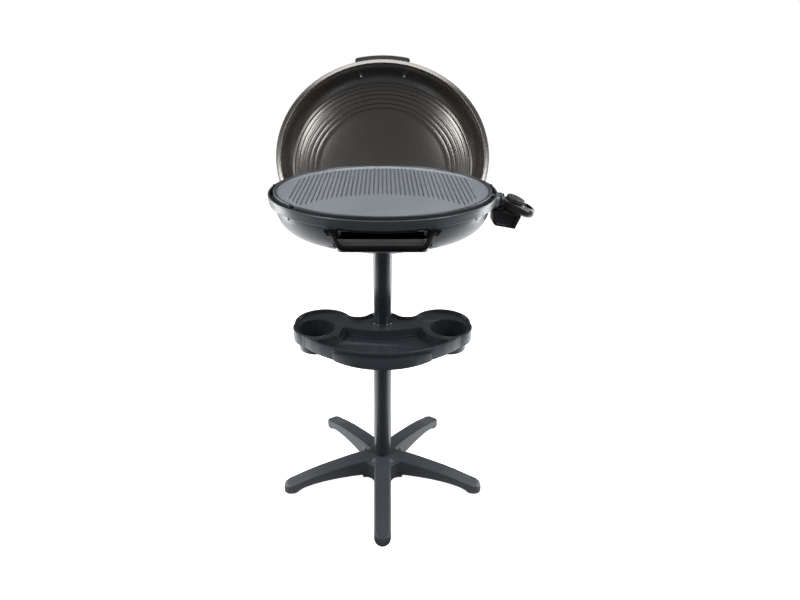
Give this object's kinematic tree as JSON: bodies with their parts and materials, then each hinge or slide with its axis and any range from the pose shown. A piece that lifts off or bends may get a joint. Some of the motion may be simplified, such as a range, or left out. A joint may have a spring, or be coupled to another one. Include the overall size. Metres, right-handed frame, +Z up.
{
  "type": "electric indoor grill",
  "caption": "Round electric grill on a pedestal stand, with a hinged domed lid, a lift-off ribbed plate, a pull-out drip tray, a condiment tray and a plug-in thermostat.",
  "frame": {"origin": "middle of the stand on the floor it rests on", "axes": "+Z up along the pole, -Y towards the user and the drip tray's handle, +X towards the thermostat"},
  "size_m": [0.6099, 0.7111, 1.0388],
  "materials": {
    "stand_paint": "dark charcoal powder coat on a cast hub and legs",
    "tube_paint": "satin charcoal paint on steel tube",
    "foot_rubber": "matte black rubber",
    "bolt_steel": "plain zinc-plated steel",
    "bracket_steel": "plain pressed steel",
    "tray_plastic": "dark grey moulded plastic with a fine texture",
    "bowl_coating": "satin dark grey enamel",
    "reflector_sheet": "bright rolled sheet",
    "element_sheath": "dull heat-darkened tube sheath",
    "ceramic": "cream glazed ceramic",
    "hinge_paint": "black painted steel",
    "plate_coating": "grey non-stick coating with a soft sheen",
    "drip_sheet": "pressed sheet, slightly dull",
    "handle_plastic": "black heat-resistant plastic",
    "lid_coating": "warm dark pewter coating with a metallic sheen",
    "control_plastic": "black moulded plastic",
    "gland_rubber": "black rubber gland",
    "lamp_lens": "clear lens",
    "knob_plastic": "black plastic with a speckled top"
  },
  "bodies": {
    "stand": {"base_star": "stand_paint", "foot_pads": "foot_rubber", "base_bolt": "bolt_steel", "tube_plug": "bracket_steel", "lower_tube": "tube_paint", "upper_tube": "tube_paint", "tube_sleeve": "tray_plastic", "condiment_tray": "tray_plastic", "tray_collar": "tray_plastic", "collar_screws": "bolt_steel"},
    "head": {"pole_socket": "stand_paint", "socket_screws": "bolt_steel", "socket_nuts": "bolt_steel", "bowl": "bowl_coating", "rim_bumpers": "foot_rubber", "plate_rests": "bracket_steel", "rest_screws": "bolt_steel", "reflector": "reflector_sheet", "heating_element": "element_sheath", "element_clips": "bracket_steel", "terminal_block": "ceramic", "terminal_pins": "bolt_steel", "socket_shroud": "bracket_steel", "drip_rails": "bracket_steel", "hinge_brackets": "hinge_paint", "hinge_pins": "bolt_steel"},
    "plate": {"grill_plate": "plate_coating"},
    "drip_drawer": {"drip_tray": "drip_sheet", "drip_handle": "handle_plastic", "handle_lugs": "bolt_steel", "handle_rivets": "bolt_steel"},
    "lid": {"lid_shell": "lid_coating", "lid_handle": "handle_plastic", "handle_spacers": "handle_plastic", "handle_screws": "bolt_steel", "hinge_arms": "hinge_paint", "arm_screws": "bolt_steel"},
    "controller": {"controller_grip": "control_plastic", "controller_neck": "control_plastic", "controller_box": "control_plastic", "cord_inlet": "gland_rubber", "thermostat_probe": "bolt_steel", "thermostat_switch": "ceramic", "pilot_lamp": "lamp_lens"},
    "knob": {"control_knob": "knob_plastic", "knob_shaft": "bolt_steel"}
  },
  "joints": [
    {"name": "head_lift", "type": "slide", "parent": "stand", "child": "head", "axis": [0, 0, 1], "range_m": [0, 0.06]},
    {"name": "plate_lift", "type": "slide", "parent": "head", "child": "plate", "axis": [0, 0, 1], "range_m": [0, 0.06]},
    {"name": "drip_tray_slide", "type": "slide", "parent": "head", "child": "drip_drawer", "axis": [0, -1, 0], "range_m": [0, 0.24]},
    {"name": "lid_hinge", "type": "hinge", "parent": "head", "child": "lid", "pos_m": [0, 0.126, 0.74], "axis": [1, 0, 0], "range_deg": [0, 128]},
    {"name": "controller_pull", "type": "slide", "parent": "head", "child": "controller", "axis": [1, 0, 0], "range_m": [0, 0.08]},
    {"name": "knob_turn", "type": "hinge", "parent": "controller", "child": "knob", "pos_m": [0.28991, 0, 0.74301], "axis": [0.3651, -0.0872, 0.9269], "range_deg": [0, 270]}
  ]
}
